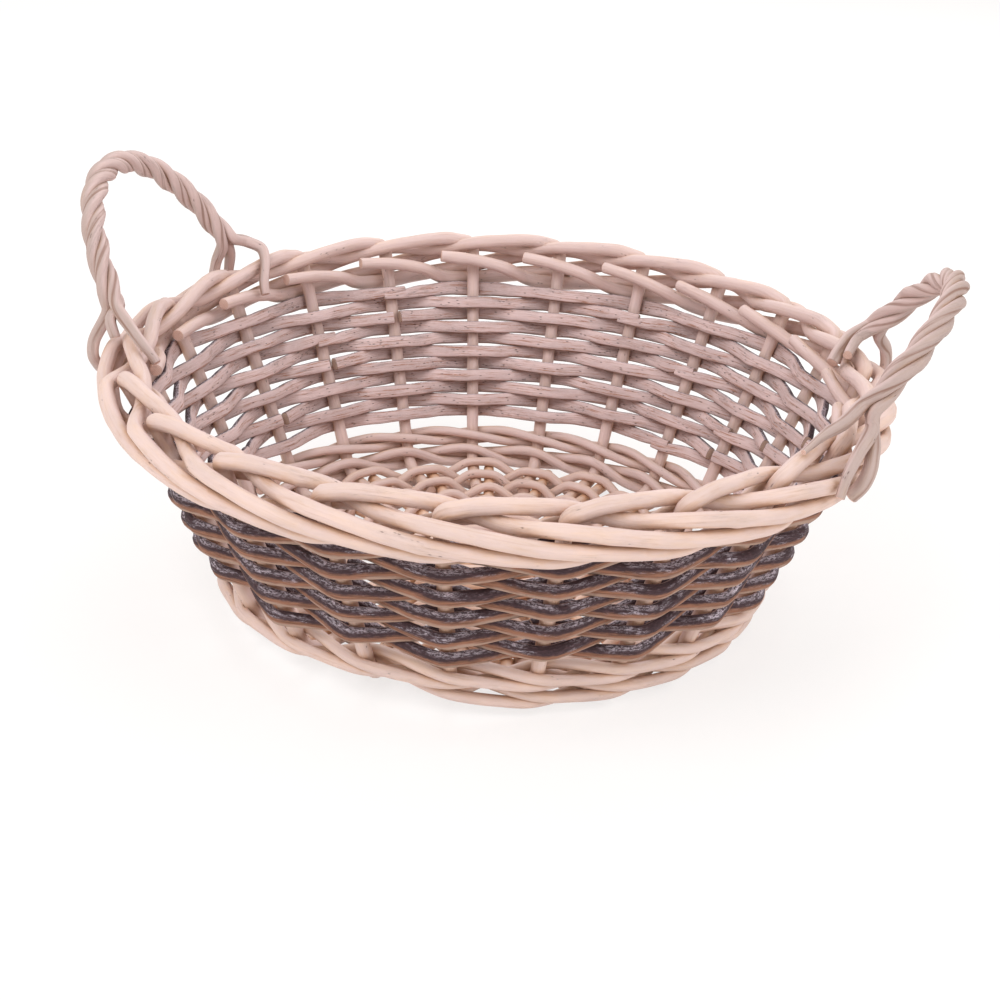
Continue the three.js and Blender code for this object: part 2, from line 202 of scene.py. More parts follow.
def even_steps(points, sides, step):
    """Points, side directions and lengths spaced evenly along a broken line."""
    lengths = run_lengths(points)
    count = max(int(round(lengths[-1] / step)), 4) + 1
    along = np.linspace(0, lengths[-1], count)
    placed = np.stack([np.interp(along, lengths, points[:, i]) for i in range(3)], axis=1)
    turned = np.stack([np.interp(along, lengths, sides[:, i]) for i in range(3)], axis=1)
    return placed, turned, along

def softened(values, spread):
    """Rows of values eased along their length, with both ends held."""
    if spread <= 0:
        return values
    reach = min(int(math.ceil(3 * spread)), len(values) - 1)
    weights = np.exp(-0.5 * (np.arange(-reach, reach + 1) / spread) ** 2)
    weights /= weights.sum()
    head = 2 * values[0] - values[reach:0:-1]
    tail = 2 * values[-1] - values[-2:-reach - 2:-1]
    padded = np.concatenate([head, values, tail])
    return np.stack([np.convolve(padded[:, i], weights, mode='valid')
                     for i in range(values.shape[1])], axis=1)


def drift(rng, along, lengths, size):
    """A slow random wander along a rod, the sum of a few waves."""
    total = np.zeros_like(along)
    for length in lengths:
        total += np.sin(TURN * (along / (length * rng.uniform(0.8, 1.25)) + rng.uniform()))
    return size * total / len(lengths)


def round_section(size, count=14):
    """A whole rod."""
    turn = (np.arange(count) + 0.5) * TURN / count
    return np.stack([np.cos(turn), np.sin(turn)], axis=1) * size / 2


def crushed_section(size, count=20):
    """A rod twisted until it creases: round, with furrows along it, and how deep they are."""
    turn = (np.arange(count) + 0.5) * TURN / count
    dent = np.zeros(count)
    for at, depth, spread in ((0.6, 0.13, 0.3), (-2.1, 0.1, 0.34), (2.4, 0.06, 0.3)):
        dent += depth * np.exp(-((np.angle(np.exp(1j * (turn - at)))) / spread) ** 2)
    reach = (1 - dent) * size / 2
    return np.stack([np.cos(turn) * reach, np.sin(turn) * reach], axis=1), dent / dent.max()


def split_section(depth, width, count=16):
    """A split rod: rounded bark face outwards, nearly flat pith face with eased edges."""
    turn = (np.arange(count) + 0.5) * TURN / count
    across = np.sign(np.sin(turn)) * np.abs(np.sin(turn)) ** 0.8 * width / 2
    share = np.cos(turn)
    side = np.where(share > 0, np.abs(share) ** 0.95, -np.abs(share) ** 0.35) * depth / 2
    return np.stack([side, across], axis=1)


def knotted(rng, along, angle):
    """How far a rod stands out at its knots, by the length along it and the angle round it."""
    bulge = np.ones((len(along), len(angle)))
    knot = rng.uniform(10, 90)
    while knot < along[-1] - 6:
        toward = rng.uniform(-math.pi, math.pi)
        near = np.exp(-0.5 * ((along - knot) / KNOT_LENGTH) ** 2)[:, None]
        facing = np.exp(-0.5 * ((np.angle(np.exp(1j * (angle - toward)))) / KNOT_WIDTH) ** 2)
        bulge += near * (0.03 + 0.15 * facing[None, :]) * rng.uniform(0.3, 1)
        knot += rng.uniform(60, 170)
    return bulge


class Bundle:
    """The rods that make up one piece, gathered as mesh data."""

    def __init__(self, seed):
        self.rng = np.random.default_rng(seed)
        self.points, self.places, self.cuts, self.barks, self.faces = [], [], [], [], []
        self.total = 0

    def add(self, points, sides, section, soft=3.0, step=2.2, wander=0.0, lumps=0.04,
            scales=None, floor=False, cut=(True, True), tight=None, knots=True, marks=None):
        """Sweep one rod. soft is how far its bends are eased, in millimetres, and tight gives
        the place and reach of a bend that is eased by another length. scales gives the thickness
        as rows of share of the length, side and across. marks are kept as the bark side."""
        rng = self.rng
        placed, turned, along = even_steps(np.asarray(points), np.asarray(sides), step)
        eased = softened(placed, soft / step)
        if tight is not None:
            at, reach, firm = tight
            near = np.exp(-0.5 * ((along - at) / reach) ** 2)[:, None]
            eased = near * softened(placed, firm / step) + (1 - near) * eased
        turned = softened(unit(turned), 3)
        tangent = unit(np.gradient(eased, axis=0))
        side = unit(turned - tangent * np.sum(turned * tangent, axis=1, keepdims=True))
        across = np.cross(tangent, side)
        if wander:
            held = np.minimum(1, np.minimum(along, along[-1] - along) / END_HOLD)
            eased = eased + side * (drift(rng, along, (70, 38), wander * 0.6) * held)[:, None]
            eased = eased + across * (drift(rng, along, (90, 47, 26), wander) * held)[:, None]
        swell_side = 1 + drift(rng, along, (120, 41, 17), lumps)
        swell_across = 1 + drift(rng, along, (110, 37, 15), lumps)
        if scales is not None:
            table = np.asarray(scales)
            share = along / along[-1]
            swell_side = swell_side * np.interp(share, table[:, 0], table[:, 1])
            swell_across = swell_across * np.interp(share, table[:, 0], table[:, 2])
        count = len(section)
        angle = np.arctan2(section[:, 1], section[:, 0])
        bulge = knotted(rng, along, angle) if knots else np.ones((len(along), count))
        ovality = 0.02 * np.cos(2 * angle[None, :] + rng.uniform(0, TURN) + along[:, None] / 60)
        bulge = bulge * (1 + ovality)
        a = section[None, :, 0] * swell_side[:, None] * bulge
        b = section[None, :, 1] * swell_across[:, None] * bulge
        rings = eased[:, None, :] + side[:, None, :] * a[..., None] + across[:, None, :] * b[..., None]
        offset = rng.uniform(0, 7000)
        place = np.stack([a, b, np.broadcast_to(along[:, None] + offset, a.shape)], axis=-1)
        if marks is None:
            marks = section[:, 0] / np.abs(section[:, 0]).max()
        rings, place = list(rings), list(place)
        cuts, barks = list(np.zeros(a.shape)), [marks] * len(along)
        for end in (0, -1):
            ring, ring_place = rings[end], place[end]
            centre, centre_place = ring.mean(axis=0), ring_place.mean(axis=0)
            lip = tangent[end] * (END_LIP if end else -END_LIP)
            tilt = side[end] * rng.uniform(-0.12, 0.12) + across[end] * rng.uniform(-0.12, 0.12)
            lean = tangent[end] * ((ring - centre) @ tilt)[:, None]
            kept = CUT_END if cut[end] else WORN_END
            outermost = len(rings) if end else 0
            rings.insert(outermost, centre + (ring - centre) * kept + lip + lean)
            place.insert(outermost, centre_place + (ring_place - centre_place) * kept)
            cuts.insert(outermost, np.ones(count))
            barks.insert(outermost, np.zeros(count))
        self.store(rings, place, cuts, barks, floor)

    def store(self, rings, place, cuts, barks, floor):
        """Keep one swept rod: its points, what is known of each, and its faces."""
        rows, count, start = len(rings), len(rings[0]), self.total
        flat = np.concatenate([*rings, [rings[0].mean(axis=0), rings[-1].mean(axis=0)]])
        if floor:
            flat[:, 2] = np.maximum(flat[:, 2], 0)
        self.points.append(flat)
        self.places.append(np.concatenate([*place, [place[0].mean(axis=0), place[-1].mean(axis=0)]]))
        self.cuts.append(np.concatenate([*cuts, [1, 1]]))
        self.barks.append(np.concatenate([*barks, [0, 0]]))
        i = start + np.arange(rows - 1)[:, None] * count
        j = np.arange(count)[None, :]
        k = (j + 1) % count
        quads = np.stack([i + j, i + k, i + count + k, i + count + j], axis=-1).reshape(-1, 4)
        self.faces += quads.tolist()
        first_middle = start + rows * count
        last_ring = first_middle - count
        for here in range(count):
            beside = (here + 1) % count
            self.faces.append([first_middle, start + beside, start + here])
            self.faces.append([first_middle + 1, last_ring + here, last_ring + beside])
        self.total += len(flat)

    def build(self, name, slot, material, *nodes):
        """Make the piece's object, ride it on the basket and stand it in for its node."""
        points = (np.concatenate(self.points) + MIDDLE) * MM
        mesh = bpy.data.meshes.new(name)
        mesh.from_pydata(points.tolist(), [], self.faces)
        mesh.update()
        mesh.polygons.foreach_set("use_smooth", np.ones(len(mesh.polygons), dtype=bool))
        mesh.set_sharp_from_angle(angle=SHARP_EDGE)
        add_attribute(mesh, "place", np.concatenate(self.places) * MM)
        add_attribute(mesh, "cut_end", np.concatenate(self.cuts))
        add_attribute(mesh, "bark_side", np.concatenate(self.barks))
        piece = bpy.data.objects.new(name, mesh)
        bpy.context.scene.collection.objects.link(piece)
        mesh.materials.append(bpy.data.materials[material])
        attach(piece, "root")
        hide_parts(*nodes)


def add_attribute(mesh, name, values):
    """Keep a value or a vector for each point of a mesh."""
    kind, field = ('FLOAT_VECTOR', "vector") if values.ndim == 2 else ('FLOAT', "value")
    attribute = mesh.attributes.get(name) or mesh.attributes.new(name, kind, 'POINT')
    attribute.data.foreach_set(field, np.ascontiguousarray(values, dtype=np.float32).ravel())


# Finishes

class Shading:
    """Short helpers for wiring a node tree."""

    def __init__(self, tree):
        self.tree = tree

    def node(self, kind, **settings):
        made = self.tree.nodes.new(kind)
        for key, value in settings.items():
            setattr(made, key, value)
        return made

    def plug(self, value, socket):
        if isinstance(value, bpy.types.NodeSocket):
            self.tree.links.new(value, socket)
        elif socket.type == 'RGBA' and len(value) == 3:
            socket.default_value = (*value, 1)
        else:
            socket.default_value = value

    def math(self, operation, *values, clamp=False):
        made = self.node('ShaderNodeMath', operation=operation, use_clamp=clamp)
        for socket, value in zip(made.inputs, values):
            self.plug(value, socket)
        return made.outputs[0]

    def mix(self, share, first, second):
        made = self.node('ShaderNodeMix', data_type='RGBA', clamp_factor=True)
        self.plug(share, made.inputs['Factor'])
        self.plug(first, made.inputs[6])
        self.plug(second, made.inputs[7])
        return made.outputs[2]

    def ramp(self, value, low, high, start=0.0, end=1.0):
        made = self.node('ShaderNodeMapRange', interpolation_type='SMOOTHSTEP', clamp=True)
        for socket, item in zip(made.inputs, (value, low, high, start, end)):
            self.plug(item, socket)
        return made.outputs[0]

    def stretch(self, vector, scales):
        made = self.node('ShaderNodeVectorMath', operation='MULTIPLY')
        self.plug(vector, made.inputs[0])
        self.plug(scales, made.inputs[1])
        return made.outputs[0]

    def noise(self, vector, detail=3.0, roughness=0.55, distortion=0.0):
        made = self.node('ShaderNodeTexNoise')
        self.plug(vector, made.inputs['Vector'])
        made.inputs['Scale'].default_value = 1
        made.inputs['Detail'].default_value = detail
        made.inputs['Roughness'].default_value = roughness
        made.inputs['Distortion'].default_value = distortion
        return made.outputs[0]

    def times(self, first, second, clamp=False):
        return self.math('MULTIPLY', first, second, clamp=clamp)

    def tint(self, body, colour, mask, amount):
        """The body turned towards a colour, where a mask lies and as far as an amount."""
        return self.mix(self.times(mask, amount), body, colour)

    def mark(self, name):
        """A value kept at each point of the mesh."""
        return self.node('ShaderNodeAttribute', attribute_name=name).outputs['Fac']

    def place(self):
        """Where a point lies in its rod: to the side, across and along."""
        return self.node('ShaderNodeAttribute', attribute_name="place").outputs['Vector']


def new_group(name, inputs, outputs):
    """A node group with named number inputs and outputs, ready to be wired."""
    tree = bpy.data.node_groups.new(name, 'ShaderNodeTree')
    for title, default in inputs:
        socket = tree.interface.new_socket(title, in_out='INPUT', socket_type='NodeSocketFloat')
        socket.default_value = default
    for title in outputs:
        tree.interface.new_socket(title, in_out='OUTPUT', socket_type='NodeSocketFloat')
    s = Shading(tree)
    return s, s.node('NodeGroupInput'), s.node('NodeGroupOutput')


def grain_group():
    """Long streaks, soft blotches, dark flecks with fine cracks, and the height of them all."""
    s, given, put = new_group("Rod grain", (("Streak fineness", 900), ("Fleck amount", 0.5)),
                              ("Streak", "Blotch", "Fleck", "Height"))
    place = s.place()
    fine = given.outputs['Streak fineness']
    widths = s.node('ShaderNodeCombineXYZ')
    for socket, value in zip(widths.inputs, (fine, fine, s.times(fine, 0.05))):
        s.plug(value, socket)
    streak = s.noise(s.stretch(place, widths.outputs[0]), detail=4, roughness=0.62)
    blotch = s.noise(s.stretch(place, (120, 120, 34)), detail=3, roughness=0.55)
    specks = s.node('ShaderNodeTexVoronoi')
    s.plug(s.stretch(place, (950, 950, 340)), specks.inputs['Vector'])
    specks.inputs['Scale'].default_value = 1
    specks.inputs['Randomness'].default_value = 1
    cell = s.node('ShaderNodeSeparateColor')
    s.plug(specks.outputs['Color'], cell.inputs[0])
    where = s.ramp(s.noise(s.stretch(place, (160, 160, 42)), detail=2), 0.54, 0.66)
    chance = s.math('MULTIPLY_ADD', where, 0.3, s.math('ADD', cell.outputs[0],
                                                        given.outputs['Fleck amount']))
    chosen = s.ramp(chance, 1.3, 1.36)
    speck = s.times(s.ramp(specks.outputs['Distance'], 0.36, 0.1), chosen)
    ridges = s.noise(s.stretch(place, (1100, 1100, 38)), detail=3, roughness=0.6)
    line = s.ramp(s.math('ABSOLUTE', s.math('SUBTRACT', ridges, 0.5)), 0.02, 0.003)
    crack = s.times(s.times(line, s.math('MULTIPLY_ADD', where, 0.8, 0.2)),
                    given.outputs['Fleck amount'])
    fleck = s.math('MAXIMUM', speck, crack)
    height = s.math('SUBTRACT', s.times(streak, 0.7), s.times(fleck, 0.6))
    for title, value in (("Streak", streak), ("Blotch", blotch), ("Fleck", fleck), ("Height", height)):
        s.plug(value, put.inputs[title])


def wash_group():
    """Where the limewash lies: brushed along the rod, patchy, and thin deep in the weave, partly as
    painted shade.
    """
    s, given, put = new_group("Limewash", (("Cover", 0.6), ("Softness", 0.15)), ("Mask",))
    patches = s.noise(s.stretch(s.place(), (330, 330, 75)), detail=5, roughness=0.7, distortion=0.4)
    # Less wash where other rods hem the rod in, partly painted shade, plainest on the dark bark
    deep = s.times(s.mark("occlusion"), 0.22)
    level = s.math('SUBTRACT', 1.02, s.times(given.outputs['Cover'], 1.04))
    level = s.math('ADD', s.times(level, 0.6), s.math('ADD', deep, 0.2))
    low = s.math('SUBTRACT', level, given.outputs['Softness'])
    high = s.math('ADD', level, given.outputs['Softness'])
    s.plug(s.ramp(patches, low, high), put.inputs['Mask'])


def cut_group():
    """Cut ends: a mask, and rings round the pith."""
    s, given, put = new_group("Cut end", (("Ring count", 5),), ("Mask", "Rings"))
    place = s.node('ShaderNodeSeparateXYZ')
    s.plug(s.place(), place.inputs[0])
    out = s.math('POWER', s.math('ADD', s.math('POWER', place.outputs[0], 2.0),
                                 s.math('POWER', place.outputs[1], 2.0)), 0.5)
    waves = s.math('SINE', s.times(out, s.times(given.outputs[0], 2200)))
    s.plug(s.ramp(s.mark("cut_end"), 0.35, 0.9), put.inputs['Mask'])
    s.plug(s.math('MULTIPLY_ADD', waves, 0.5, 0.5), put.inputs['Rings'])


def placed_group(s, name, **values):
    """A group placed in a material, with its own values."""
    made = s.node('ShaderNodeGroup', node_tree=bpy.data.node_groups[name])
    for title, value in values.items():
        made.inputs[title.replace("_", " ")].default_value = value
    return made


def finish_shader(s, colour, roughness, height, strength, distance):
    """The willow surface itself: colour, roughness and a bump of the grain."""
    bump = s.node('ShaderNodeBump')
    bump.inputs['Strength'].default_value = strength
    bump.inputs['Distance'].default_value = distance
    s.plug(height, bump.inputs['Height'])
    surface = s.node('ShaderNodeBsdfPrincipled')
    s.plug(colour, surface.inputs['Base Color'])
    s.plug(roughness, surface.inputs['Roughness'])
    s.plug(bump.outputs[0], surface.inputs['Normal'])
    surface.inputs['Specular IOR Level'].default_value = 0.3
    output = s.node('ShaderNodeOutputMaterial')
    s.plug(surface.outputs[0], output.inputs[0])


def new_material(name):
    """The wiring of a new, empty material."""
    material = bpy.data.materials.new(name)
    material.use_nodes = True
    material.node_tree.nodes.clear()
    return Shading(material.node_tree)


def shaded(colour, share):
    """A colour made darker or lighter by a share."""
    return tuple(value * share for value in colour)


def cut_ends(s, body, pale, dark):
    """The body with rings on the cut ends, between two colours."""
    ends = placed_group(s, "Cut end")
    return s.mix(ends.outputs['Mask'], body, s.mix(ends.outputs['Rings'], pale, dark))


def rod_material(name, colours, cover, fleck_amount, raw_and_glow, glow_share, dim, crease_shade=0.0):
    """Peeled willow under a thin wash, with a painted warm glow and painted shade where the weave is
    deep.
    """
    s = new_material(name)
    grain = placed_group(s, "Rod grain", Fleck_amount=fleck_amount)
    streak = grain.outputs['Streak']
    wash = placed_group(s, "Limewash", Cover=cover, Softness=0.22)
    occlusion, inside = s.mark("occlusion"), s.mark("inward")
    peeled = shaded(colours.peeled, dim)
    body = s.mix(s.ramp(grain.outputs['Blotch'], 0.35, 0.7), peeled, shaded(peeled, 0.86))
    body = s.tint(body, shaded(raw_and_glow, 0.8), s.ramp(streak, 0.5, 0.78), 0.6)
    # Painted warm glow: raw willow's tone where other rods hem the rod in, standing in for light
    # bounced into the hollows
    body = s.mix(s.times(occlusion, glow_share, clamp=True), body, raw_and_glow)
    # Faces turned inwards take more wash, and a paler pinkish tone that is painted light lifting the
    # shade inside the basket
    washed_share = s.math('MULTIPLY_ADD', inside, 0.4, 0.5)
    body = s.tint(body, shaded(colours.wash, dim), wash.outputs['Mask'], washed_share)
    inside_painted_light = s.mix(streak, tone(236, 210, 206), tone(198, 168, 160))
    body = s.tint(body, inside_painted_light, inside, 0.7)
    # Painted shade: a dark raw tone where other rods hem the rod in most
    body = s.tint(body, shaded(raw_and_glow, 0.45), s.math('POWER', occlusion, 2.0), 0.28)
    body = s.tint(body, colours.fleck, grain.outputs['Fleck'], 0.6)
    # Painted shade: dark russet along the strand's creases, broken up by the grain
    if crease_shade:
        creases = s.math('POWER', s.ramp(s.mark("bark_side"), 0.1, 1.0), 1.5)
        broken = s.ramp(streak, 0.3, 0.62, 0.1, 1.0)
        body = s.tint(body, shaded(colours.russet, 0.6), s.times(creases, broken), crease_shade)
    body = cut_ends(s, body, tone(228, 196, 182), tone(196, 158, 144))
    rough = s.math('MULTIPLY_ADD', streak, 0.25, 0.55)
    finish_shader(s, body, rough, grain.outputs['Height'], 0.6, 0.0008)


def bark_colour(s, colours, side, streak, mottle):
    """Dark bark, frosted with wash along its top and worn to russet and paler below."""
    chalk = placed_group(s, "Limewash", Cover=0.34, Softness=0.1)
    place = s.place()
    axes = s.node('ShaderNodeSeparateXYZ')
    s.plug(place, axes.inputs[0])
    waver = s.noise(s.stretch(place, (70, 70, 30)), detail=4, roughness=0.65)
    low = s.times(axes.outputs[1], 1 / (SPLIT_WIDTH * MM / 2))
    low = s.math('ADD', low, s.math('MULTIPLY_ADD', waver, 2.6, -1.3))
    low = s.math('MULTIPLY_ADD', side, 0.7, low)
    bark = s.mix(s.ramp(mottle, 0.45, 0.66), colours.bark, shaded(colours.bark, 1.7))
    brown = s.mix(s.ramp(streak, 0.42, 0.66), colours.russet, shaded(colours.russet, 0.55))
    bark = s.mix(s.ramp(s.math('MULTIPLY_ADD', mottle, 0.6, low), 0.05, 0.75), bark, brown)
    bark = s.mix(s.ramp(low, 0.6, 1.2), bark, s.mix(0.35, shaded(colours.peeled, 0.66), brown))
    top = s.times(s.ramp(low, -0.4, -1.15), s.ramp(waver, 0.39, 0.51))
    patch = s.times(chalk.outputs['Mask'], s.ramp(low, 0.6, -0.5))
    frost = s.math('ADD', s.times(top, 0.85), s.times(patch, 0.95), clamp=True)
    grit = s.noise(s.stretch(place, (1900, 1900, 900)), detail=4, roughness=0.75)
    grains = s.ramp(s.math('MULTIPLY_ADD', grit, 0.5, s.times(mottle, 0.5)), 0.46, 0.57)
    return s.tint(bark, colours.chalk, frost, s.math('MULTIPLY_ADD', grains, 0.92, 0.08))


def pith_colour(s, colours, grain, mottle):
    """The pale inner face of a split, streaked with russet under a thin wash, with painted russet
    shade where the weave is deep.
    """
    pith = s.mix(s.ramp(grain.outputs['Blotch'], 0.35, 0.68), colours.pith,
                 shaded(colours.pith, 0.8))
    pith = s.mix(s.ramp(grain.outputs['Streak'], 0.48, 0.72), pith, shaded(colours.russet, 1.25))
    pith = s.tint(pith, shaded(colours.wash, 1.05), s.ramp(mottle, 0.5, 0.66), 0.55)
    # Painted shade: russet where other rods hem the split in
    pith = s.tint(pith, shaded(colours.russet, 0.9), s.mark("occlusion"), 0.16)
    return s.tint(pith, colours.fleck, grain.outputs['Fleck'], 0.6)


def split_material(colours):
    """Splits: bark outside and a washed pith face inside."""
    s = new_material("Split rod")
    grain = placed_group(s, "Rod grain", Streak_fineness=1300, Fleck_amount=0.42)
    streak, side = grain.outputs['Streak'], s.mark("bark_side")
    mottle = s.noise(s.stretch(s.place(), (1500, 1500, 420)), detail=4, roughness=0.7)
    body = s.mix(s.ramp(side, -0.9, -0.5), pith_colour(s, colours, grain, mottle),
                 bark_colour(s, colours, side, streak, mottle))
    body = cut_ends(s, body, tone(200, 172, 156), tone(160, 130, 116))
    rough = s.math('MULTIPLY_ADD', streak, 0.3, 0.6)
    height = s.math('MULTIPLY_ADD', mottle, 0.6, grain.outputs['Height'])
    finish_shader(s, body, rough, height, 0.75, 0.0010)


def make_finishes(colours):
    """The three shared groups, then the four materials that use them."""
    grain_group()
    wash_group()
    cut_group()
    rod_material("Peeled rod", colours, 0.62, 0.24, shaded(colours.raw_and_glow, 1), 0.5, 0.98)
    # The base's strong warm tone in its hollows is a painted glow of light bounced up between the
    # weavers
    rod_material("Base rod", colours, 0.35, 0.24, tone(232, 178, 134), 0.75, 1.0)
    rod_material("Handle strand", colours, 0.75, 0.3, shaded(colours.raw_and_glow, 0.7), 0.6, 0.66, 0.7)
    split_material(colours)


# Base

STICK_SWING = math.asin((STAKE_SIZE / 2 + STICK_SIZE / 2 + SLACK) / BYE_START)
# One end of the prongs of a slit stick: millimetres from the middle, and lift off the stick's axis
PRONG = ((28, 1.0), (24, 1.6), (19.5, 3.6), (6, 3.8))
PRONG_DEPTH = 2.6
HALF_ROUND = STAKES // 2
# Radii of the rounds that tie the slath, how much more room the first one needs above and below,
# and the radii between which the weavers chase each other
TIES = (26.8, 30.8, 35.0, 39.4, 43.8, 48.2)
FIRST_TIE_ROOM = 0.9
WEAVE_START = 52.4
WEAVE_END = 115.0
# First and last bay of two neighbouring arms of the slath, and 1 where the first weaver passes
# above the arm, -1 where it passes below
SLATH_ARMS = ((PAIRED_START, PAIRED_START + PAIRED - 1, 1),
              (PAIRED_START + PAIRED, PAIRED_START + HALF_ROUND - 1, -1))


def stick_angle(bays):
    """Angle of a base stick, which lies beside its stake."""
    return angle_at(bays) - STICK_SWING


def slath_offset(order, count):
    """How far from the middle a stick of the slath lies, by its order among its set."""
    return (order - (count - 1) / 2) * SLATH_PITCH


def arm_of(bays):
    """Where a stick leaves the slath, and where it meets the ring of the stakes."""
    around = (bays - PAIRED_START) % STAKES + PAIRED_START
    paired_end = PAIRED_START + PAIRED
    cross_end = paired_end + CROSSED
    if around < paired_end:
        start = (slath_offset(around - PAIRED_START, PAIRED), -SLATH_REACH)
    elif around < cross_end:
        start = (SLATH_REACH, slath_offset(around - paired_end, CROSSED))
    elif around < cross_end + PAIRED:
        start = (-slath_offset(around - cross_end, PAIRED), SLATH_REACH)
    else:
        start = (-SLATH_REACH, -slath_offset(around - cross_end - PAIRED, CROSSED))
    begin = np.array([*start, BASE_PLANE])
    return begin, floor_place(stick_angle(bays), BYE_START, BASE_PLANE)


def crossing_angle(bays, radius):
    """Angle at which a stick crosses a circle about the middle."""
    if radius >= BYE_START:
        return float(stick_angle(bays))
    begin, end = arm_of(bays)
    run = (end - begin)[:2]
    a, b, c = run @ run, begin[:2] @ run, begin[:2] @ begin[:2] - radius ** 2
    place = begin[:2] + run * (-b + math.sqrt(max(b * b - a * c, 0))) / a
    return math.atan2(place[1], place[0])


def stick_path(near_bay, far_bay, along_x, offset):
    """The whole run of a base stick from one side of the base to the other."""
    near, far = arm_of(near_bay), arm_of(far_bay)
    if along_x:
        middle = [np.array([reach, offset, BASE_PLANE]) for reach in (SLATH_HALF, -SLATH_HALF)]
    else:
        middle = [np.array([offset, reach, BASE_PLANE]) for reach in (-SLATH_HALF, SLATH_HALF)]
    return [floor_place(stick_angle(near_bay), STICK_REACH, BASE_PLANE), near[1], near[0], *middle,
            far[0], far[1], floor_place(stick_angle(far_bay), STICK_REACH, BASE_PLANE)]


def prong_path(path, offset, sign):
    """One prong of a slit stick, above or below the sticks that pass through the slit."""
    prong = []
    for x, lift in (*PRONG, *((-x, lift) for x, lift in reversed(PRONG))):
        near, far = (path[2], path[1]) if x > 0 else (path[5], path[6])
        place = np.array([x, offset, BASE_PLANE])
        if abs(x) > SLATH_REACH:
            place = near + unit(far - near) * (abs(x) - SLATH_REACH)
        prong.append(place + np.array([0, 0, sign * lift]))
    return prong


def flat_sides(points, side):
    """One side direction for every point."""
    return np.tile(np.asarray(side, dtype=float), (len(points), 1))


def through_stick(order, lumps):
    """A stick that is shaved flatter at the middle, where it passes through the slits."""
    path = stick_path(PAIRED_START + order, PAIRED_START + STAKES - CROSSED - 1 - order, False,
                      slath_offset(order, PAIRED))
    shaved = [[0, 1, 1], [0.36, 1, 1], [0.42, 1.05, 0.72], [0.58, 1.05, 0.72], [0.64, 1, 1], [1, 1, 1]]
    bundle = Bundle(100 + order)
    bundle.add(path, flat_sides(path, (1, 0, 0)), round_section(STICK_SIZE), soft=4, lumps=lumps,
               scales=shaved)
    name = f"base_stick_through_{order + 1}"
    bundle.build(f"through_stick_{order + 1}", "base_rod", "Base rod", name)


def slit_stick(order, lumps):
    """A stick of two arms that are joined by the two prongs of its slit middle."""
    offset = slath_offset(order, CROSSED)
    path = stick_path(PAIRED_START + PAIRED + order, PAIRED_START + STAKES - 1 - order, True, offset)
    bundle = Bundle(120 + order)
    for arm in (path[:3], path[:4:-1]):
        arm = [*arm, arm[2] + unit(arm[2] - arm[1]) * 2]
        bundle.add(arm, flat_sides(arm, (0, 1, 0)), round_section(STICK_SIZE), soft=4, lumps=lumps)
    for sign in (1, -1):
        prong = prong_path(path, offset, sign)
        bundle.add(prong, flat_sides(prong, (0, 0, sign)), split_section(PRONG_DEPTH, STICK_SIZE),
                   soft=2.5, lumps=lumps * 0.5, knots=False,
                   scales=[[0, 0.7, 0.8], [0.12, 1, 1], [0.88, 1, 1], [1, 0.7, 0.8]])
    name = f"base_stick_slit_{order + 1}"
    bundle.build(f"slit_stick_{order + 1}", "base_rod", "Base rod", name)


class BASKET_OT_base_sticks(bpy.types.Operator):
    """Sticks of the base, six passed through five that are slit at the middle"""
    bl_idname = "basket.base_sticks"
    bl_label = "Base sticks"

    def execute(self, context):
        lumps = context.scene.basket_sizes.lumps
        for order in range(PAIRED):
            through_stick(order, lumps)
        for order in range(CROSSED):
            slit_stick(order, lumps)
        return {'FINISHED'}


def tie_path(tie, parity, lift):
    """One round that ties the slath, over and under its four arms, as angle, radius and level."""
    hold = (STICK_SIZE / 2 + 1.2) / tie
    lift += FIRST_TIE_ROOM if tie == TIES[0] else 0
    path = []
    for turn in range(2):
        for first, last, over in SLATH_ARMS:
            low = crossing_angle(first + turn * HALF_ROUND, tie) - hold
            high = crossing_angle(last + turn * HALF_ROUND, tie) + hold
            high += TURN if high < low else 0
            for share in (0, 0.33, 0.67, 1):
                angle = low + (high - low) * share
                while path and angle < path[-1][0]:
                    angle += TURN
                path.append((angle, tie, BASE_PLANE + over * parity * lift))
    return [*path, (path[0][0] + TURN, tie, path[0][2])]


def chase_path(weaver, parity, pitch, lift):
    """A weaver's run outwards, over and under each stick, and at the edge over stick and stake."""
    radius = WEAVE_START + weaver * pitch
    bay = STAKES + PAIRED_START
    previous = -math.inf
    path = []
    while radius < WEAVE_END:
        level = (1 if bay % 2 == 0 else -1) * parity
        beside = radius > BYE_START - 3
        low = crossing_angle(bay, radius)
        high = float(angle_at(bay)) if beside else low
        low -= (STICK_SIZE / 2 + 0.3) / radius
        high += ((STAKE_SIZE if beside else STICK_SIZE) / 2 + 0.3) / radius
        for angle in (low, high):
            while angle < previous:
                angle += TURN
            previous = angle
            path.append((angle, radius, BASE_PLANE + level * lift))
        bay += 1
        radius += 2 * pitch / STAKES
    return path


def laid_flat(path):
    """Points and side directions of a path of angle, radius and level."""
    angle, radius, level = np.array(path).T
    return floor_place(angle, radius, level), floor_place(angle, 1, 0)


